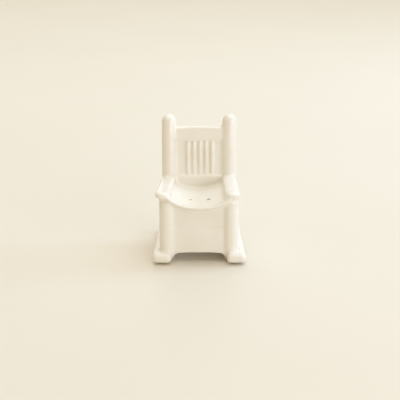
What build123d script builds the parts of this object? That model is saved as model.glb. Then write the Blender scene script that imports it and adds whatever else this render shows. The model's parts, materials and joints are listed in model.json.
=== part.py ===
from build123d import *
import os
from math import cos, radians, sin, sqrt, tan

# Miniature rocking chair in white glazed porcelain, made of separately formed pieces luted together
# round a hollow box under the seat. The box is filled through a stoppered hole underneath and pours
# through two small holes in the seat.
#
# Millimetres and degrees. +Z is up, the sitter faces -Y, and left and right are as seen from the
# front, so left is -X. The origin is on the floor, midway between the four rocker tips.

# Overall sizes
overall_depth = 58.0  # tip to tip of a rocker
overall_height = 82.0  # floor to the domed top of a back post

# Rockers
rocker_spacing = 43.6  # between the rockers' centre lines, midway along them
rocker_width = 12.0
rocker_thickness = 6.2
rocker_splay = 2.0  # each rocker turns outwards towards the front
sole_radius = 150.0
sole_flat = 18.0  # length ground flat in the middle of the sole
tip_radius = 2.9
rocker_rounding = 2.7

# Columns: two front legs and two reclined back posts
column_spacing = 38.4  # between left and right axes
column_lap = 2.0  # how far the columns reach down beside the rockers
leg_diameter = 10.1
leg_setback = 9.5  # from the rockers' front tips to the legs' axes
post_diameter = 9.3
post_setback = 44.0  # from the rockers' front tips to the posts' axes, at seat height
post_recline = 9.0

# Seat
seat_height = 36.0  # lowest line of the dished top
seat_thickness = 3.0  # at that line
dish_edge_slope = 30.0  # how steep the dish is where it meets the side walls
seat_overhang = 3.8  # how far its front lip stands out past the apron
seat_rounding = 0.85
pour_hole_diameter = 2.2
pour_hole_spacing = 11.1
pour_hole_setback = 16.0  # from the front of the lip

# Walls of the hollow box
side_wall = 4.4
front_wall = 3.0
front_recess = 1.8  # how far the front wall stands back from the front of the legs
rear_wall = 3.0
floor_clearance = 0.8  # from the rockers' flat tops up to the base plate
floor_thickness = 2.6
apron_drop = 10.4  # depth of the apron below the underside of the seat
front_rail_top = 9.0
front_rail_arch = 6.1  # height of the flat middle of its arched lower edge
front_rail_proud = 0.6  # how far it stands out from the front wall
haunch_reach = 3.8  # length of its haunches, measured inwards from the legs' axes
haunch_radius = 1.8
front_rounding = 1.3

# Arms
arm_rise = 3.0  # from the lowest line of the seat to the underside of the arms
arm_thickness = 4.9
arm_width_rear = 8.6
arm_width_front = 9.2
arm_splay = 2.4  # how far the front end stands out past the leg's axis
arm_reach = 5.8  # from the leg's axis to the front of the arm
arm_end_radius = 4.3
arm_rounding = 2.0

# Back, measured up the posts from seat height
crest_drop = 7.6  # from the tops of the posts to the middle of the crest
crest_depth = 8.6  # at the middle
crest_crown = 1.3  # rise from its ends to its middle
crest_thickness = 5.2
moulding_radius = 1.5
moulding_depth = 0.35
lower_rail_top = 7.4
lower_rail_bottom = -4.0
lower_rail_thickness = 5.0
panel_thickness = 2.6
back_rounding = 1.5
rib_count = 5
rib_pitch = 3.85
rib_width = 2.6
rib_height = 1.5
rib_rounding = 1.1

# Filler hole and stopper
filler_diameter = 12.0
stopper_clearance = 0.05  # all round the plug
flange_gap = 0.1  # between the flange and the base plate
flange_diameter = 15.6
flange_thickness = 1.2
plug_length = 6.0
thumb_hollow_diameter = 7.0
thumb_hollow_depth = 3.6

# Places that follow from the sizes
sides = {"left": -1, "right": 1}
recline = radians(post_recline)
leg_y = leg_setback - overall_depth / 2
post_y = post_setback - overall_depth / 2
column_x = column_spacing / 2
column_foot = rocker_thickness - column_lap
floor_height = rocker_thickness + floor_clearance
seat_underside = seat_height - seat_thickness
arm_underside = seat_height + arm_rise
inner_x = column_x - side_wall / 2
dish_radius = inner_x / sin(radians(dish_edge_slope))
front_y = leg_y - leg_diameter / 2 + front_recess
front_inside_y = front_y + front_wall
apron_bottom = seat_underside - apron_drop
seat_front_y = front_y - seat_overhang
post_radius = post_diameter / 2
dome_centre = (overall_height - post_radius - seat_height) / cos(recline)
crest_top = dome_centre + post_radius - crest_drop
crest_bottom = crest_top - crest_depth
panel_front = panel_thickness / 2

# The back's own plane: X to the right, Y up the posts, Z forwards out of the back's face
back_plane = Plane(
    origin=(0, post_y, seat_height), x_dir=(1, 0, 0), z_dir=(0, -cos(recline), sin(recline))
)


def post_y_at(height):
    """Where a post's axis stands, front to back, at a height above the floor."""
    return post_y + (height - seat_height) * tan(recline)


def rise(radius, run):
    """How far an arc climbs from its tangent line over a run along that line."""
    return radius - sqrt(radius**2 - run**2)


def make_rocker(side):
    """A thick curved runner, ground flat in the middle of its sole, with every edge softened."""
    splay = radians(rocker_splay)
    plane = Plane(
        origin=(side * rocker_spacing / 2, 0, 0),
        x_dir=(-side * sin(splay), cos(splay), 0),
        z_dir=(cos(splay), side * sin(splay), 0),
    )
    half_length = overall_depth / 2
    half_flat = sole_flat / 2
    run = half_length - half_flat
    sole_tip = rise(sole_radius, run)
    top_tip = rocker_thickness + rise(sole_radius - rocker_thickness, run)
    with BuildPart() as rocker:
        with BuildSketch(plane) as profile:
            with BuildLine():
                Line((-half_flat, 0), (half_flat, 0))
                TangentArc((half_flat, 0), (half_length, sole_tip), tangent=(1, 0))
                Line((half_length, sole_tip), (half_length, top_tip))
                TangentArc((half_flat, rocker_thickness), (half_length, top_tip), tangent=(1, 0))
                Line((half_flat, rocker_thickness), (-half_flat, rocker_thickness))
                TangentArc((-half_flat, rocker_thickness), (-half_length, top_tip), tangent=(-1, 0))
                Line((-half_length, top_tip), (-half_length, sole_tip))
                TangentArc((-half_flat, 0), (-half_length, sole_tip), tangent=(-1, 0))
            make_face()
            ends = profile.vertices().group_by(Axis.X)
            fillet(ends[0] + ends[-1], radius=tip_radius)
        extrude(amount=rocker_width / 2, both=True)
        flanks = rocker.faces().sort_by(Axis.X)
        fillet(flanks[0].edges() + flanks[-1].edges(), radius=rocker_rounding)
    return rocker.part


def make_post(side, rockers):
    """A reclined round post with a domed top, coped onto its rocker."""
    with BuildPart() as post:
        axis_plane = Plane(
            origin=(side * column_x, post_y, seat_height),
            x_dir=(1, 0, 0),
            z_dir=back_plane.z_dir,
        )
        foot = -seat_height / cos(recline)
        with BuildSketch(axis_plane):
            with BuildLine():
                Line((0, foot), (post_radius, foot))
                Line((post_radius, foot), (post_radius, dome_centre))
                RadiusArc(
                    (post_radius, dome_centre), (0, dome_centre + post_radius), -post_radius
                )
                Line((0, dome_centre + post_radius), (0, foot))
            make_face()
        revolve(axis=Axis(axis_plane.origin, axis_plane.y_dir))
        split(bisect_by=Plane.XY.offset(column_foot), keep=Keep.TOP)
        for rocker in rockers:
            add(rocker, mode=Mode.SUBTRACT)
    return post.part


def make_back_board(low, high, thickness, posts):
    """A flat board across the back, between two heights up the posts, coped onto both posts."""
    with BuildPart() as board:
        with BuildSketch(back_plane):
            with Locations((0, (low + high) / 2)):
                Rectangle(column_spacing, high - low)
        extrude(amount=thickness / 2, both=True)
        for post in posts:
            add(post, mode=Mode.SUBTRACT)
    return board.part


def make_crest_rail(posts):
    """The top rail of the back, with a crowned top, soft edges and a shallow moulded line."""
    half = column_spacing / 2
    end_top = crest_top - crest_crown
    with BuildPart() as crest:
        with BuildSketch(back_plane):
            with BuildLine():
                Line((-half, crest_bottom), (half, crest_bottom))
                Line((half, crest_bottom), (half, end_top))
                ThreePointArc((half, end_top), (0, crest_top), (-half, end_top))
                Line((-half, end_top), (-half, crest_bottom))
            make_face()
        extrude(amount=crest_thickness / 2, both=True)
        long_edges = crest.edges().filter_by(GeomType.CIRCLE) + crest.edges().filter_by(Axis.X)
        fillet(long_edges, radius=back_rounding)
        moulding_axis = crest_thickness / 2 + moulding_radius - moulding_depth
        with BuildSketch(Plane(back_plane.origin, x_dir=back_plane.y_dir, z_dir=(1, 0, 0))):
            with Locations(((crest_bottom + end_top) / 2, moulding_axis)):
                Circle(moulding_radius)
        extrude(amount=half, both=True, mode=Mode.SUBTRACT)
        for post in posts:
            add(post, mode=Mode.SUBTRACT)
    return crest.part


def make_rib(number):
    """One raised rib on the face of the back panel, running from rail to rail."""
    across = (number - (rib_count + 1) / 2) * rib_pitch
    with BuildPart() as rib:
        with BuildSketch(back_plane.offset(panel_front)):
            with Locations((across, (lower_rail_top + crest_bottom) / 2)):
                Rectangle(rib_width, crest_bottom - lower_rail_top)
        extrude(amount=rib_height)
        front = rib.faces().sort_by(Axis(back_plane.origin, back_plane.z_dir))[-1]
        fillet(front.edges().filter_by(lambda edge: edge.length > rib_width * 2), rib_rounding)
    return rib.part


def make_seat_blank():
    """The block that the seat is hollowed from, between the side walls and rounded underneath."""
    with BuildPart() as blank:
        with BuildSketch(Plane.XY.offset(seat_underside)):
            with Locations((0, (seat_front_y + post_y) / 2)):
                Rectangle(2 * inner_x, post_y - seat_front_y)
        extrude(amount=arm_underside - seat_underside)
        with BuildSketch(Plane.XZ):
            with Locations((0, seat_height + dish_radius)):
                Circle(dish_radius + seat_thickness)
        extrude(amount=overall_depth, both=True, mode=Mode.INTERSECT)
    return blank.part


def make_seat(blank, behind):
    """The dished seat, a bent board with a rounded front lip, cut to fit what stands behind it."""
    with BuildPart() as seat:
        add(blank)
        with BuildSketch(Plane.XZ):
            with Locations((0, seat_height + dish_radius)):
                Circle(dish_radius)
        extrude(amount=overall_depth, both=True, mode=Mode.SUBTRACT)
        lip = seat.faces().sort_by(Axis.Y)[0]
        fillet(lip.edges().filter_by(GeomType.CIRCLE), radius=seat_rounding)
        with BuildSketch(Plane.XY.offset(seat_underside)):
            with Locations((0, seat_front_y + pour_hole_setback)):
                with GridLocations(pour_hole_spacing, 0, 2, 1):
                    Circle(pour_hole_diameter / 2)
        extrude(amount=arm_underside - seat_underside, mode=Mode.SUBTRACT)
        for piece in behind:
            add(piece, mode=Mode.SUBTRACT)
    return seat.part


def make_leg(side, rockers, seat_blank):
    """A round front leg, coped onto its rocker and notched for the seat's corner."""
    with BuildPart() as leg:
        with BuildSketch(Plane.XY.offset(column_foot)):
            with Locations((side * column_x, leg_y)):
                Circle(leg_diameter / 2)
        extrude(amount=arm_underside - column_foot)
        for piece in [*rockers, seat_blank]:
            add(piece, mode=Mode.SUBTRACT)
    return leg.part


def make_arm(side, behind):
    """An arm that splays outwards from its post to a rounded end over the front leg."""
    rear_y = post_y_at(arm_underside + arm_thickness / 2)
    front = leg_y - arm_reach
    front_x = column_x + arm_splay
    with BuildPart() as arm:
        with BuildSketch(Plane.XY.offset(arm_underside)) as outline:
            with BuildLine():
                Polyline(
                    (side * (column_x - arm_width_rear / 2), rear_y),
                    (side * (front_x - arm_width_front / 2), front),
                    (side * (front_x + arm_width_front / 2), front),
                    (side * (column_x + arm_width_rear / 2), rear_y),
                    close=True,
                )
            make_face()
            fillet(outline.vertices().group_by(Axis.Y)[0], radius=arm_end_radius)
        extrude(amount=arm_thickness)
        rear = arm.faces().sort_by(Axis.Y)[-1]
        rims = arm.faces().filter_by(Axis.Z).edges().filter_by(lambda edge: edge not in rear.edges())
        fillet(rims, radius=arm_rounding)
        for piece in behind:
            add(piece, mode=Mode.SUBTRACT)
    return arm.part


def make_side_panel(side, around):
    """The wall of the hollow box between a front leg and a back post, from rocker to arm."""
    with BuildPart() as panel:
        with BuildSketch(Plane.YZ.offset(side * column_x)):
            with BuildLine():
                Polyline(
                    (leg_y, column_foot),
                    (post_y_at(column_foot), column_foot),
                    (post_y_at(arm_underside), arm_underside),
                    (leg_y, arm_underside),
                    close=True,
                )
            make_face()
        extrude(amount=side_wall / 2, both=True)
        for piece in around:
            add(piece, mode=Mode.SUBTRACT)
    return panel.part


def make_front_board(low, high, round_top, around):
    """One board of the front wall, with its front edges softened, coped onto both legs."""
    with BuildPart() as board:
        with BuildSketch(Plane.XZ.offset(-front_inside_y)):
            with Locations((0, (low + high) / 2)):
                Rectangle(column_spacing, high - low)
        extrude(amount=front_wall)
        front = board.faces().sort_by(Axis.Y)[0]
        edges = front.edges().filter_by(Axis.X).sort_by(Axis.Z)
        fillet(edges if round_top else edges[0], radius=front_rounding)
        with BuildSketch(Plane.XZ):
            with Locations((0, seat_height + dish_radius)):
                Circle(dish_radius + seat_thickness)
        extrude(amount=overall_depth, both=True, mode=Mode.SUBTRACT)
        for piece in around:
            add(piece, mode=Mode.SUBTRACT)
    return board.part


def make_front_rail(around):
    """The bottom rail of the front wall, arched over the gap between the rockers."""
    inner = column_x - haunch_reach
    with BuildPart() as rail:
        with BuildSketch(Plane.XZ.offset(-front_inside_y)) as outline:
            with BuildLine():
                Polyline(
                    (-column_x, column_foot),
                    (-inner, column_foot),
                    (-inner, front_rail_arch),
                    (inner, front_rail_arch),
                    (inner, column_foot),
                    (column_x, column_foot),
                    (column_x, front_rail_top),
                    (-column_x, front_rail_top),
                    close=True,
                )
            make_face()
            haunches = outline.vertices().filter_by(
                lambda corner: abs(corner.Z - front_rail_arch) < 1e-6
            )
            fillet(haunches, radius=haunch_radius)
        extrude(amount=front_wall + front_rail_proud)
        front = rail.faces().sort_by(Axis.Y)[0]
        fillet(front.edges().filter_by(Axis.X).sort_by(Axis.Z)[-1], radius=front_rounding)
        for piece in around:
            add(piece, mode=Mode.SUBTRACT)
    return rail.part


def make_rear_panel(around):
    """The reclined rear wall of the hollow box, below the lower rail of the back."""
    low = -seat_height / cos(recline)
    with BuildPart() as panel:
        with BuildSketch(back_plane):
            with Locations((0, (low + lower_rail_bottom) / 2)):
                Rectangle(column_spacing, lower_rail_bottom - low)
        extrude(amount=rear_wall / 2, both=True)
        split(bisect_by=Plane.XY.offset(floor_height), keep=Keep.TOP)
        for piece in around:
            add(piece, mode=Mode.SUBTRACT)
    return panel.part


def make_base_plate(filler_y, around):
    """The floor of the hollow box, with the round filler hole."""
    rear_y = post_y_at(floor_height + floor_thickness)
    with BuildPart() as plate:
        with BuildSketch(Plane.XY.offset(floor_height)):
            with Locations((0, (front_inside_y + rear_y) / 2)):
                Rectangle(2 * inner_x, rear_y - front_inside_y)
            with Locations((0, filler_y)):
                Circle(filler_diameter / 2, mode=Mode.SUBTRACT)
        extrude(amount=floor_thickness)
        for piece in around:
            add(piece, mode=Mode.SUBTRACT)
    return plate.part


def make_stopper(filler_y):
    """The soft flanged plug that closes the filler hole, hollow underneath for a fingertip."""
    flange_top = floor_height - flange_gap
    with BuildPart() as stopper:
        with BuildSketch(Plane.XY.offset(flange_top - flange_thickness)):
            with Locations((0, filler_y)):
                Circle(flange_diameter / 2)
        extrude(amount=flange_thickness)
        with BuildSketch(Plane.XY.offset(flange_top)):
            with Locations((0, filler_y)):
                Circle(filler_diameter / 2 - stopper_clearance)
        extrude(amount=plug_length)
        rims = stopper.edges().filter_by(GeomType.CIRCLE).sort_by(Axis.Z)
        fillet([rims[0], rims[-1]], radius=flange_thickness / 3)
        with BuildSketch(Plane.XY.offset(flange_top - flange_thickness)):
            with Locations((0, filler_y)):
                Circle(thumb_hollow_diameter / 2)
        extrude(amount=thumb_hollow_depth, mode=Mode.SUBTRACT)
    return stopper.part


pieces = {}

# Rockers, posts and back
rockers = {name: make_rocker(side) for name, side in sides.items()}
posts = {name: make_post(side, rockers.values()) for name, side in sides.items()}
pieces["crest_rail"] = make_crest_rail(posts.values())
pieces["lower_back_rail"] = make_back_board(
    lower_rail_bottom, lower_rail_top, lower_rail_thickness, posts.values()
)
pieces["back_panel"] = make_back_board(
    lower_rail_top, crest_bottom, panel_thickness, posts.values()
)
for number in range(1, rib_count + 1):
    pieces[f"back_rib_{number}"] = make_rib(number)

# Seat, legs and arms
around_floor = [*rockers.values(), *posts.values()]
pieces["rear_panel"] = make_rear_panel(around_floor)
seat_blank = make_seat_blank()
behind_seat = [*posts.values(), pieces["lower_back_rail"], pieces["rear_panel"]]
pieces["seat"] = make_seat(seat_blank, behind_seat)
legs = {name: make_leg(side, rockers.values(), seat_blank) for name, side in sides.items()}
around_floor += legs.values()
for name, side in sides.items():
    pieces[f"rocker_{name}"] = rockers[name]
    pieces[f"back_post_{name}"] = posts[name]
    pieces[f"front_leg_{name}"] = legs[name]
    pieces[f"arm_{name}"] = make_arm(side, [*posts.values(), pieces["lower_back_rail"]])
    pieces[f"side_panel_{name}"] = make_side_panel(side, around_floor)

# Front wall, floor and stopper
pieces["apron"] = make_front_board(apron_bottom, arm_underside, False, around_floor)
pieces["front_panel"] = make_front_board(front_rail_top, apron_bottom, True, around_floor)
pieces["front_rail"] = make_front_rail(around_floor)
filler_y = (front_inside_y + post_y_at(floor_height)) / 2
pieces["base_plate"] = make_base_plate(filler_y, [*around_floor, pieces["rear_panel"]])
pieces["stopper"] = make_stopper(filler_y)

os.makedirs("parts", exist_ok=True)
for name, piece in pieces.items():
    piece.label = name
    export_step(piece, f"parts/{name}.step")
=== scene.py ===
import json
from math import cos, pi, radians, sin

import bmesh
import bpy
from mathutils import Matrix, Vector
from mathutils.bvhtree import BVHTree


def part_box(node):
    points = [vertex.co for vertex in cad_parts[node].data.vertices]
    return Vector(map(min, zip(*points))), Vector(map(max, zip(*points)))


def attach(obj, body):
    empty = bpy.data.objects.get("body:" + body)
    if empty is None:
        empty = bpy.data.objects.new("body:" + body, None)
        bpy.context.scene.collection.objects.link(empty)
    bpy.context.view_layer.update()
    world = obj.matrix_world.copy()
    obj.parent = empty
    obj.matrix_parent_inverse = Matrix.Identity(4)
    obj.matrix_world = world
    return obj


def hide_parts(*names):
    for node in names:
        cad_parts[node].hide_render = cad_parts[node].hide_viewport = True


# Miniature rocking chair in white glazed porcelain, with a soft stopper underneath.
#
# The chair is formed the way a pottery makes it. Clay pieces are luted together, the joints are
# filled and sponged smooth, the pour holes and the filler hole are cut, and one coat of glaze
# runs over everything. The finished skin is then shared out among the pieces it covers.
# Lengths are in millimetres and mm() turns them to metres, but the floor and the lights are in metres.
# The chair faces -Y, so the front of a piece is its lowest y.

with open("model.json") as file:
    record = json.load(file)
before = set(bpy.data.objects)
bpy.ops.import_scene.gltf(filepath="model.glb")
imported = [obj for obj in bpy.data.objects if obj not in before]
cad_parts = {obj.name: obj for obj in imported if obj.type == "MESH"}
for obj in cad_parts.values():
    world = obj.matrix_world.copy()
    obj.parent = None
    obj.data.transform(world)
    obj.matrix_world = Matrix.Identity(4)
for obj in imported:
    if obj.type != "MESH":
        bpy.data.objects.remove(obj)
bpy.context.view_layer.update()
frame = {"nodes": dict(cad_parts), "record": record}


def mm(value):
    return value * 0.001


def point(x, y, z):
    return Vector((mm(x), mm(y), mm(z)))


def corners(node):
    """The lowest and highest corners of a node, in millimetres."""
    low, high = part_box(node)
    return low * 1000, high * 1000


# ---------------------------------------------------------------- making and finishing shapes

weld_distance = 0.001
lathe_steps = 48
coil_segments = 24


def shaped(name, bm, outward=True):
    """A mesh object from a bmesh, with its doubles merged and its faces outwards."""
    bmesh.ops.remove_doubles(bm, verts=bm.verts, dist=mm(weld_distance))
    if outward:
        bmesh.ops.recalc_face_normals(bm, faces=bm.faces)
    mesh = bpy.data.meshes.new(name)
    bm.to_mesh(mesh)
    bm.free()
    mesh.shade_smooth()
    piece = bpy.data.objects.new(name, mesh)
    bpy.context.scene.collection.objects.link(piece)
    return piece


def modify(piece, name, kind, **settings):
    modifier = piece.modifiers.new(name, kind)
    for setting, value in settings.items():
        setattr(modifier, setting, value)


def apply_modifiers(piece):
    """Makes the piece's mesh what its modifiers show."""
    graph = bpy.context.evaluated_depsgraph_get()
    mesh = bpy.data.meshes.new_from_object(piece.evaluated_get(graph), depsgraph=graph)
    piece.modifiers.clear()
    piece.data = mesh


def discard(*pieces):
    for piece in pieces:
        bpy.data.objects.remove(piece)


def clay_copy(node):
    """A merged copy of a formed piece, to be luted to its neighbours."""
    bm = bmesh.new()
    bm.from_mesh(frame["nodes"][node].data)
    return shaped(node + ".clay", bm, outward=False)


def turned(name, profile, foot):
    """A round form thrown from a profile of (radius, height) pairs, standing on foot."""
    bm = bmesh.new()
    ring = [bm.verts.new(point(radius, 0, height)) for radius, height in profile]
    edges = [bm.edges.new(pair) for pair in zip(ring, ring[1:])]
    bmesh.ops.spin(
        bm, geom=ring + edges, cent=(0, 0, 0), axis=(0, 0, 1), angle=2 * pi, steps=lathe_steps,
        use_merge=True,
    )
    bmesh.ops.transform(bm, matrix=Matrix.Translation(foot), verts=bm.verts)
    return shaped(name, bm)


def pebble(name, centre, radii):
    """A smooth thumbed lump of clay."""
    bm = bmesh.new()
    bmesh.ops.create_icosphere(bm, subdivisions=4, radius=mm(1))
    place = Matrix.Translation(centre) @ Matrix.Diagonal((*radii, 1))
    bmesh.ops.transform(bm, matrix=place, verts=bm.verts)
    return shaped(name, bm)


def coil(name, places, radii):
    """A rolled coil of clay that runs through the places, with its own radius at each."""
    bm = bmesh.new()
    rings = []
    for index, (here, radius) in enumerate(zip(places, radii)):
        before, after = places[max(index - 1, 0)], places[min(index + 1, len(places) - 1)]
        along = (after - before).to_track_quat("Z", "Y").to_matrix().to_4x4()
        made = bmesh.ops.create_circle(
            bm, segments=coil_segments, radius=mm(radius), matrix=Matrix.Translation(here) @ along,
        )
        rings.append({edge for vertex in made["verts"] for edge in vertex.link_edges})
    for one, other in zip(rings, rings[1:]):
        bmesh.ops.bridge_loops(bm, edges=list(one | other))
    bmesh.ops.holes_fill(bm, edges=[edge for edge in bm.edges if edge.is_boundary])
    return shaped(name, bm)


def slab(name, outline, front, back):
    """A flat piece with an outline of (x, z) corners, from one y to another."""
    bm = bmesh.new()
    faces = [[bm.verts.new(point(x, y, z)) for x, z in outline] for y in (front, back)]
    for face in faces:
        bm.faces.new(face)
    for index in range(len(outline)):
        ahead = (index + 1) % len(outline)
        bm.faces.new((faces[0][index], faces[0][ahead], faces[1][ahead], faces[1][index]))
    return shaped(name, bm)


def luted(name, pieces):
    """One object holding all the pieces, which still overlap."""
    bm = bmesh.new()
    for piece in pieces:
        bm.from_mesh(piece.data)
    discard(*pieces)
    mesh = bpy.data.meshes.new(name)
    bm.to_mesh(mesh)
    bm.free()
    body = bpy.data.objects.new(name, mesh)
    bpy.context.scene.collection.objects.link(body)
    return body


def sponge(body, grain):
    """Merges what overlaps into one closed skin, with faces of the grain's size."""
    modify(body, "sponge", "REMESH", mode="VOXEL", voxel_size=mm(grain), adaptivity=0, use_smooth_shade=True)


def swell(body, amount):
    """Moves the whole skin outwards by the amount, or inwards by a minus amount."""
    modify(body, "swell", "DISPLACE", direction="NORMAL", mid_level=0, strength=mm(amount))


def soften(body, rounds):
    modify(body, "soften", "SMOOTH", factor=0.5, iterations=rounds)


def close_joints(body, fill, grain):
    """Fills the inner corners with slip to a radius, and leaves the outer ones as they are."""
    sponge(body, grain)
    swell(body, fill)
    sponge(body, grain)
    soften(body, 6)
    swell(body, -fill)
    sponge(body, grain)
    apply_modifiers(body)


# ---------------------------------------------------------------- the chair's clay

sides = {"left": -1, "right": 1}
glazed = frame["record"]["behaviour"]["bodies"]["chair"]
ribs = [node for node in glazed if node.startswith("back_rib")]

leg_low, leg_high = corners("front_leg_right")
leg_x, leg_y = (leg_low.x + leg_high.x) / 2, (leg_low.y + leg_high.y) / 2
arm_low, arm_high = corners("arm_right")
rail_low, rail_high = corners("front_rail")
seat_front = corners("seat")[0].y
plate_low, plate_high = corners("base_plate")
stopper_low, stopper_high = corners("stopper")

clay = {node: clay_copy(node) for node in glazed if node not in ribs}

# The core of a leg, as (radius, height) pairs: narrowest on the rocker, and drawn in a little at its top
core_profile = [
    (0, 5.6), (4.4, 5.6), (4.7, 7.5), (4.85, 10.5), (4.95, 15.0), (4.95, 30.0), (4.6, 37.0), (0, 37.0),
]
# The pad between the core and the arm lies a little further out and back than the leg's middle
pad_out, pad_back, pad_height = 1.0, 0.6, 40.2
pad_radii = (3.4, 4.0, 1.5)

# The arms are set by hand, so they do not splay quite alike; degrees about their rear ends
arm_splay = {"left": -1.2, "right": -1.8}
arm_tilt = -1.6
arm_thinning = 0.8
# The arm turns about the middle of its rear end, this far in from its outermost edge
arm_hinge_inset = 7
# The knob's centre lies this far in from the arm's outer edge, front and top
knob_inset, knob_setback, knob_drop = 4.4, 3.8, 2.3
knob_radii = (4.2, 3.7, 2.15)

# The web's hollow edge is a quarter circle, about a centre under the arch
web_x, web_z, web_radius = 12.2, 2.0, 3.7
web_inner, web_outer = 8.0, 17.0
web_toe, web_top = 6.05, 6.8
web_inset = 0.3

wall_stretch = 1.035

for side, way in sides.items():
    # A core keeps the leg round down to its rocker, and a pad fills in under the risen arm
    foot = point(way * leg_x, leg_y, 0)
    clay[f"leg_core_{side}"] = turned(f"leg_core_{side}", core_profile, foot)
    pad = point(way * (leg_x + pad_out), leg_y + pad_back, pad_height)
    clay[f"arm_pad_{side}"] = pebble(f"arm_pad_{side}", pad, pad_radii)
    # The arm is pared thinner from below, and rises a little to its front end
    thinned = Matrix.Diagonal((1, 1, arm_thinning, 1))
    turn = Matrix.Rotation(radians(arm_tilt), 4, "X") @ Matrix.Rotation(radians(arm_splay[side]), 4, "Z")
    hinge = point(way * (arm_high.x - arm_hinge_inset), arm_high.y, arm_high.z)
    arm_bend = Matrix.Translation(hinge) @ turn @ thinned @ Matrix.Translation(-hinge)
    clay[f"arm_{side}"].data.transform(arm_bend)
    # Its front end is thumbed into a small knob
    knob = arm_bend @ point(way * (arm_high.x - knob_inset), arm_low.y + knob_setback, arm_high.z - knob_drop)
    clay[f"arm_knob_{side}"] = pebble(f"arm_knob_{side}", knob, knob_radii)
    # A web rounds off the arch between the rocker and the bottom rail
    web = [
        (web_x + web_radius * cos(radians(angle)), web_z + web_radius * sin(radians(angle)))
        for angle in range(0, 91, 6)
    ]
    web += [(web_inner, web_toe), (web_inner, web_top), (web_outer, web_top), (web_outer, web_z)]
    web_outline = [(way * x, z) for x, z in web]
    clay[f"web_{side}"] = slab(f"web_{side}", web_outline, rail_low.y + web_inset, rail_high.y - web_inset)
    # The side wall reaches up to the risen arm
    clay[f"side_panel_{side}"].data.transform(Matrix.Diagonal((1, 1, wall_stretch, 1)))

# The dish of the seat is part of a cylinder that runs from front to back, and this is its lowest line
dish_radius, dish_bottom = 34.0, 36.0
dish_axis = point(0, 0, dish_bottom + dish_radius)

# The front of the seat that overhangs the apron is pared to a quarter of its thickness from underneath
overhang_length, overhang_thinning = 3.4, 0.25
overhang = mm(seat_front + overhang_length)
bm = bmesh.new()
bm.from_mesh(clay["seat"].data)
bmesh.ops.bisect_plane(
    bm, geom=[*bm.verts, *bm.edges, *bm.faces], plane_co=(0, overhang, 0), plane_no=(0, 1, 0),
)
for vertex in bm.verts:
    if vertex.co.y < overhang - mm(0.05):
        spoke = Vector((vertex.co.x, 0, vertex.co.z - dish_axis.z))
        depth = spoke.length - mm(dish_radius)
        pared = spoke.normalized() * (mm(dish_radius) + overhang_thinning * depth)
        vertex.co.x, vertex.co.z = pared.x, dish_axis.z + pared.z
bm.to_mesh(clay["seat"].data)
bm.free()

# The seat's front lip is a roll that dips with the dish and runs up into both arms.
# Towards its ends it turns back and thickens by the amounts given here.
lip_radius = 0.8
lip_setback = 0.2
lip_sunk = 0.6
lip_end_back, lip_end_thicker = 0.5, 0.2
lip_steps, lip_step_degrees = 12, 2.75
lip_y = seat_front + lip_radius + lip_setback
lip_reach = dish_radius + lip_radius - lip_sunk
lip_places, lip_radii = [], []
for step in range(-lip_steps, lip_steps + 1):
    swing = radians(step * lip_step_degrees)
    outwards = abs(step) / lip_steps
    back = lip_y + lip_end_back * outwards ** 3
    lip_places.append(dish_axis + point(lip_reach * sin(swing), back, -lip_reach * cos(swing)))
    lip_radii.append(lip_radius + lip_end_thicker * outwards ** 2)
clay["seat_lip"] = coil("seat_lip", lip_places, lip_radii)

# Seat, arms and side walls are blended into one scoop first, and the rest is luted on more crisply
scoop = luted("scoop", [clay.pop(name) for name in list(clay) if name.startswith(("seat", "arm", "side"))])
close_joints(scoop, fill=1.9, grain=0.45)
body = luted("chair_skin", [scoop, *clay.values()])
close_joints(body, fill=0.75, grain=0.4)
soften(body, 6)
apply_modifiers(body)

rib_lean = radians(9)
rib_depth = 1.5
rib_shift = 0.6
# A rib's bead, from foot to top: the share of its length, its radius, and how proud of the panel it runs
rib_stations = [
    (-0.04, 0.85, -0.7), (0.03, 1.0, -0.3), (0.12, 1.08, 0.15), (0.28, 1.1, 0.5), (0.5, 1.1, 0.65),
    (0.7, 1.1, 0.7), (0.84, 1.1, 0.65), (0.91, 0.95, 0.5), (0.95, 0.6, 0.3),
]


def beaded_rib(node):
    """A rounded bead up the back panel, tapered at its top end and sinking into the panel at its foot."""
    low, high = corners(node)
    up, out = Vector((0, sin(rib_lean), cos(rib_lean))), Vector((0, -cos(rib_lean), sin(rib_lean)))
    middle = (low + high) / 2 - out * (rib_depth / 2) + Vector((rib_shift, 0, 0))
    length = (high.z - low.z - rib_depth * sin(rib_lean)) / cos(rib_lean)
    places = [
        mm(1) * (middle + up * (length * (share - 0.5)) + out * proud)
        for share, radius, proud in rib_stations
    ]
    return coil(node + ".bead", places, [radius for share, radius, proud in rib_stations])


# Ribs go on after the joints are filled, so that the grooves between them stay open
body = luted("chair_skin", [body] + [beaded_rib(node) for node in ribs])

# Glaze has run into the left pour hole and narrowed it
pour_radius = {"left": 0.85, "right": 1.15}
pour_flare = 0.1
# Half the way from hole to hole, the shift of both to the right, the way back from the seat's front,
# and the height
pour_spread, pour_shift, pour_back, pour_height = 5.55, 0.3, 16.2, 35.5
filler_radius = 6.15
filler_y = (stopper_low.y + stopper_high.y) / 2
cutter_length = 9


def hole_cutter(name, centre, radius, flare, segments):
    """A round cutter that goes through the wall at centre, wider at its top by the flare."""
    bm = bmesh.new()
    bmesh.ops.create_cone(
        bm, cap_ends=True, segments=segments, radius1=mm(radius), radius2=mm(radius + flare),
        depth=mm(cutter_length), matrix=Matrix.Translation(centre),
    )
    return shaped(name, bm)


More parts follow.
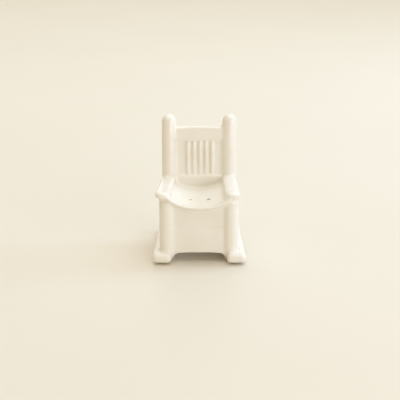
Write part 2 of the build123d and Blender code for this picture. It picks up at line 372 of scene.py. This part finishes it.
cutters = []
for side, way in sides.items():
    pour_hole = point(way * pour_spread + pour_shift, seat_front + pour_back, pour_height)
    cutters.append(hole_cutter("pour_cutter", pour_hole, pour_radius[side], pour_flare, 32))
filler_hole = point(0, filler_y, (plate_low.z + plate_high.z) / 2)
cutters.append(hole_cutter("filler_cutter", filler_hole, filler_radius, 0, 96))
for cutter in cutters:
    modify(body, "cut", "BOOLEAN", operation="DIFFERENCE", object=cutter, solver="MANIFOLD")
sponge(body, 0.3)
soften(body, 3)
apply_modifiers(body)
discard(*cutters)


# ---------------------------------------------------------------- sharing the skin out

shell_thickness = 0.5


def nearest_owner(nodes):
    """A finder that tells which formed piece lies nearest to a place."""
    places, faces, owners = [], [], []
    for node in nodes:
        mesh = frame["nodes"][node].data
        first = len(places)
        places += [vertex.co.copy() for vertex in mesh.vertices]
        faces += [[first + index for index in face.vertices] for face in mesh.polygons]
        owners += [node] * len(mesh.polygons)
    tree = BVHTree.FromPolygons(places, faces)
    return lambda place: owners[tree.find_nearest(place)[2]]


def settled(skin, belongs, rounds):
    """The owners of the faces, after each face has several times joined most of those around it."""
    touching = [[] for vertex in skin.data.vertices]
    for face in skin.data.polygons:
        for vertex in face.vertices:
            touching[vertex].append(face.index)
    around_face = [
        sorted({near for vertex in face.vertices for near in touching[vertex]})
        for face in skin.data.polygons
    ]
    for _ in range(rounds):
        votes = [[belongs[near] for near in near_faces] for near_faces in around_face]
        belongs = [
            own if ballot.count(own) * 2 > len(ballot) else max(sorted(set(ballot)), key=ballot.count)
            for own, ballot in zip(belongs, votes)
        ]
    return belongs


def share_out(skin, nodes):
    """Cuts the skin into one closed shell for each formed piece, all with the skin's own normals."""
    owner = nearest_owner(nodes)
    belongs = settled(skin, [owner(face.center) for face in skin.data.polygons], rounds=8)
    shells = {}
    for node in nodes:
        bm = bmesh.new()
        bm.from_mesh(skin.data)
        layer = bm.verts.layers.float_vector.new("glaze_normal")
        for vertex in bm.verts:
            vertex[layer] = vertex.normal
        bm.faces.ensure_lookup_table()
        others = [face for face, name in zip(bm.faces, belongs) if name != node]
        bmesh.ops.delete(bm, geom=others, context="FACES")
        mesh = bpy.data.meshes.new(node + "_glaze")
        bm.to_mesh(mesh)
        bm.free()
        shell = bpy.data.objects.new(node + "_glaze", mesh)
        bpy.context.scene.collection.objects.link(shell)
        outer = [Vector(entry.vector) for entry in mesh.attributes["glaze_normal"].data]
        modify(shell, "wall", "SOLIDIFY", thickness=mm(shell_thickness), offset=-1, use_rim=True)
        apply_modifiers(shell)
        mesh = shell.data
        mesh.shade_smooth()
        inner = [-normal for normal in outer]
        mesh.normals_split_custom_set_from_vertices(outer + inner)
        mesh.attributes.remove(mesh.attributes["glaze_normal"])
        shells[node] = shell
    discard(skin)
    return shells


shells = share_out(body, glazed)

# ---------------------------------------------------------------- the stopper

flange_radius = (stopper_high.x - stopper_low.x) / 2
bottom, top = stopper_low.z, stopper_high.z
stopper_profile = [
    # The hollow for a fingertip
    (0, bottom + 3.4), (2.6, bottom + 3.35), (3.3, bottom + 2.9), (3.5, bottom + 2.2), (3.55, bottom + 0.7),
    # The flange that stays outside
    (3.85, bottom + 0.15), (4.3, bottom), (7.1, bottom), (7.6, bottom + 0.15), (flange_radius, bottom + 0.5),
    (flange_radius - 0.05, bottom + 0.9), (7.4, bottom + 1.2), (6.1, bottom + 1.2),
    # The neck in the hole, with two sealing beads
    (5.75, bottom + 1.45), (5.75, bottom + 2.2), (5.95, bottom + 2.6), (5.75, bottom + 3.0),
    (5.75, bottom + 3.9), (5.93, bottom + 4.3), (5.72, bottom + 4.7),
    # The rounded top inside the chair
    (5.65, top - 0.9), (5.2, top - 0.2), (4.6, top), (0, top),
]
stopper = turned("stopper_rubber", stopper_profile, point(0, filler_y, 0))

# ---------------------------------------------------------------- materials

# The places of a Mix node's sockets, which share their names: its inputs, then its results
mix_factor, mix_number_a, mix_number_b, mix_colour_a, mix_colour_b = 0, 2, 3, 6, 7
mixed_number, mixed_colour = 0, 2


def linear(colour):
    """Linear red, green, blue and full alpha from an sRGB hex colour."""
    levels = [int(colour[at:at + 2], 16) / 255 for at in (1, 3, 5)]
    return [level / 12.92 if level <= 0.04045 else ((level + 0.055) / 1.055) ** 2.4 for level in levels] + [1]


def add_node(tree, kind, settings=None, links=None):
    """Adds a node, sets its properties and inputs, and links (node, output) pairs to inputs."""
    node = tree.nodes.new(kind)
    for name, value in (settings or {}).items():
        if isinstance(name, str) and hasattr(node, name):
            setattr(node, name, value)
        else:
            node.inputs[name].default_value = value
    for name, (source, output) in (links or {}).items():
        tree.links.new(source.outputs[output], node.inputs[name])
    return node


def new_material(name):
    material = bpy.data.materials.new(name)
    material.use_nodes = True
    tree = material.node_tree
    tree.nodes.clear()
    return material, tree


def ramp(tree, source, stops):
    """A colour ramp over a factor, from (position, hex colour) stops."""
    node = add_node(tree, "ShaderNodeValToRGB", links={"Fac": source})
    elements = node.color_ramp.elements
    while len(elements) > 1:
        elements.remove(elements[-1])
    elements[0].position, elements[0].color = stops[0][0], linear(stops[0][1])
    for position, colour in stops[1:]:
        elements.new(position).color = linear(colour)
    return node


def glazed_porcelain():
    """Slip-cast porcelain under a clear, slightly warm glaze: a soft white body colour that drifts a
    little from thick to thin glaze, a smooth glassy gloss with a faint orange-peel wave, a few tiny
    iron specks, and soles ground bare after firing."""
    material, tree = new_material("glazed_porcelain")
    place = add_node(tree, "ShaderNodeTexCoord")
    spot = (place, "Object")
    # Glaze thickness drifts over about 14 mm
    drift = add_node(
        tree, "ShaderNodeTexNoise", {"Scale": 70.0, "Detail": 2.0, "Roughness": 0.5}, {"Vector": spot},
    )
    tint = ramp(tree, (drift, "Fac"), [(0.3, "#F5F0E4"), (0.7, "#F9F5EC")])
    # Iron specks about a third of a millimetre across. Their cells are 4 mm wide, and few are filled
    speck = add_node(tree, "ShaderNodeTexVoronoi", {"Scale": 260.0, "Randomness": 1.0}, {"Vector": spot})
    chosen = add_node(tree, "ShaderNodeTexNoise", {"Scale": 420.0, "Detail": 0.0}, {"Vector": spot})
    dot = add_node(
        tree, "ShaderNodeMapRange", {"From Min": 0.05, "From Max": 0.02, "To Min": 0.0, "To Max": 0.5},
        {"Value": (speck, "Distance")},
    )
    rare = add_node(
        tree, "ShaderNodeMapRange", {"From Min": 0.62, "From Max": 0.68}, {"Value": (chosen, "Fac")},
    )
    shown = add_node(
        tree, "ShaderNodeMath", {"operation": "MULTIPLY"}, {0: (dot, "Result"), 1: (rare, "Result")},
    )
    specked = add_node(
        tree, "ShaderNodeMix", {"data_type": "RGBA", mix_colour_b: linear("#B79F7E")},
        {mix_factor: (shown, "Value"), mix_colour_a: (tint, "Color")},
    )
    # Bare ground clay on the lowest quarter of a millimetre of the soles
    height = add_node(tree, "ShaderNodeSeparateXYZ", links={"Vector": spot})
    bare = add_node(
        tree, "ShaderNodeMapRange", {"From Min": mm(0.3), "From Max": mm(0.18)}, {"Value": (height, "Z")},
    )
    colour = add_node(
        tree, "ShaderNodeMix", {"data_type": "RGBA", mix_colour_b: linear("#E9E0D0")},
        {mix_factor: (bare, "Result"), mix_colour_a: (specked, mixed_colour)},
    )
    # Roughness: glass-smooth, a touch duller where the glaze is thin, chalky where ground
    thin = add_node(
        tree, "ShaderNodeMapRange", {"From Min": 0.3, "From Max": 0.7, "To Min": 0.16, "To Max": 0.24},
        {"Value": (drift, "Fac")},
    )
    rough = add_node(
        tree, "ShaderNodeMix", {"data_type": "FLOAT", mix_number_b: 0.75},
        {mix_factor: (bare, "Result"), mix_number_a: (thin, "Result")},
    )
    # Orange peel about 2.5 mm from wave to wave, and finer ripples
    peel = add_node(tree, "ShaderNodeTexNoise", {"Scale": 400.0, "Detail": 1.0}, {"Vector": spot})
    wave = add_node(
        tree, "ShaderNodeBump", {"Strength": 0.12, "Distance": mm(0.12)}, {"Height": (peel, "Fac")},
    )
    shader = add_node(
        tree, "ShaderNodeBsdfPrincipled",
        {"IOR": 1.5, "Coat Weight": 0.3, "Coat Roughness": 0.1, "Coat IOR": 1.5},
        {
            "Base Color": (colour, mixed_colour), "Roughness": (rough, mixed_number),
            "Normal": (wave, "Normal"),
        },
    )
    add_node(tree, "ShaderNodeOutputMaterial", links={"Surface": (shader, "BSDF")})
    return material


def moulded_rubber():
    """Moulded translucent rubber: milky, waxy and slightly uneven, with a fine mould grain on its sheen."""
    material, tree = new_material("stopper_rubber")
    place = add_node(tree, "ShaderNodeTexCoord")
    spot = (place, "Object")
    # The milkiness drifts over about 5 mm
    cloud = add_node(tree, "ShaderNodeTexNoise", {"Scale": 180.0, "Detail": 3.0}, {"Vector": spot})
    tint = ramp(tree, (cloud, "Fac"), [(0.35, "#CFC9BC"), (0.65, "#DDD8CC")])
    dull = add_node(
        tree, "ShaderNodeMapRange", {"From Min": 0.3, "From Max": 0.7, "To Min": 0.42, "To Max": 0.56},
        {"Value": (cloud, "Fac")},
    )
    # Mould grain of about 0.4 mm, coarser than the real one so that it shows
    grain = add_node(tree, "ShaderNodeTexNoise", {"Scale": 2500.0, "Detail": 2.0}, {"Vector": spot})
    skin = add_node(
        tree, "ShaderNodeBump", {"Strength": 0.25, "Distance": mm(0.05)}, {"Height": (grain, "Fac")},
    )
    shader = add_node(
        tree, "ShaderNodeBsdfPrincipled", {"IOR": 1.43},
        {"Base Color": (tint, "Color"), "Roughness": (dull, "Result"), "Normal": (skin, "Normal")},
    )
    add_node(tree, "ShaderNodeOutputMaterial", links={"Surface": (shader, "BSDF")})
    return material


def satin_tabletop():
    """Cream lacquered board: an even warm white with a low satin sheen."""
    material, tree = new_material("satin_tabletop")
    place = add_node(tree, "ShaderNodeTexCoord")
    # The lacquer drifts over about 170 mm
    drift = add_node(tree, "ShaderNodeTexNoise", {"Scale": 6.0, "Detail": 2.0}, {"Vector": (place, "Object")})
    tint = ramp(tree, (drift, "Fac"), [(0.3, "#E8E1D2"), (0.7, "#EAE3D5")])
    shader = add_node(
        tree, "ShaderNodeBsdfPrincipled", {"Roughness": 0.34, "IOR": 1.3}, {"Base Color": (tint, "Color")},
    )
    add_node(tree, "ShaderNodeOutputMaterial", links={"Surface": (shader, "BSDF")})
    return material


porcelain = glazed_porcelain()
for node, shell in shells.items():
    shell.data.materials.clear()
    shell.data.materials.append(porcelain)
    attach(shell, "chair")
    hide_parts(node)
stopper.data.materials.append(moulded_rubber())
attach(stopper, "stopper")
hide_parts("stopper")

# ---------------------------------------------------------------- floor, light and camera

# The table is eight metres square and lies mostly behind the chair, so its edges stay out of view; metres
table_half, table_back = 4.0, 2.5

bm = bmesh.new()
bmesh.ops.create_grid(
    bm, x_segments=8, y_segments=8, size=table_half, matrix=Matrix.Translation((0, table_back, 0)),
)
floor = shaped("floor", bm, outward=False)
floor.data.materials.append(satin_tabletop())

chair_middle = point(0, 0, 30)
# Metres from the chair to the windows
window_distance = 1.3


def soft_light(name, place, size, power, colour):
    """A square softbox facing the chair, with its place and size in metres and its power in watts."""
    place = Vector(place)
    lamp = bpy.data.lights.new(name, "AREA")
    lamp.shape, lamp.size = "SQUARE", size
    lamp.energy, lamp.color = power, colour
    light = bpy.data.objects.new(name, lamp)
    facing = (place - chair_middle).to_track_quat("Z", "Y").to_matrix().to_4x4()
    light.matrix_world = Matrix.Translation(place) @ facing
    bpy.context.scene.collection.objects.link(light)


def around(bearing, height):
    """A window's place, in metres. Bearing 0 is to the right, and minus is towards the viewer."""
    level = cos(radians(height))
    return (
        window_distance * level * cos(radians(bearing)),
        window_distance * level * sin(radians(bearing)),
        window_distance * sin(radians(height)),
    )


# Daylight from low windows to the right, softened by pale walls and a pale ceiling
soft_light("window_front", around(-60, 14), 0.5, 2.92, (0.94, 0.90, 1.00))
soft_light("window_near", around(-35, 14), 0.5, 3.33, (0.69, 0.85, 1.00))
soft_light("window_side", around(12, 22), 0.28, 3.35, (0.50, 0.60, 1.00))
soft_light("window_far", around(30, 50), 0.6, 3.25, (0.51, 0.72, 1.00))
soft_light("wall_left", (-2.2, 0, 1.3), 2.5, 5.63, (1.00, 0.79, 0.98))
soft_light("wall_behind", (0, 2.2, 1.3), 2.5, 17.71, (0.87, 0.93, 1.00))
soft_light("ceiling", (0, 0, 2.4), 2.5, 32.40, (0.82, 0.91, 1.00))

# Warm light from the rest of the room
room_colour, room_strength = (1.0, 0.808, 0.447, 1.0), 0.427
world = bpy.data.worlds.new("room")
world.use_nodes = True
background = world.node_tree.nodes["Background"]
background.inputs["Color"].default_value = room_colour
background.inputs["Strength"].default_value = room_strength
bpy.context.scene.world = world

aim = point(0.5, 0, 32.07)
stand = point(0.5, -473.0, 204.23)
camera_data = bpy.data.cameras.new("camera")
camera_data.sensor_width = 36
camera_data.lens = 72.18
camera_data.clip_start = 0.01
camera_data.clip_end = 20
camera = bpy.data.objects.new("camera", camera_data)
camera.matrix_world = Matrix.Translation(stand) @ (stand - aim).to_track_quat("Z", "Y").to_matrix().to_4x4()
bpy.context.scene.collection.objects.link(camera)
bpy.context.scene.camera = camera
bpy.context.scene.view_settings.view_transform = "Standard"
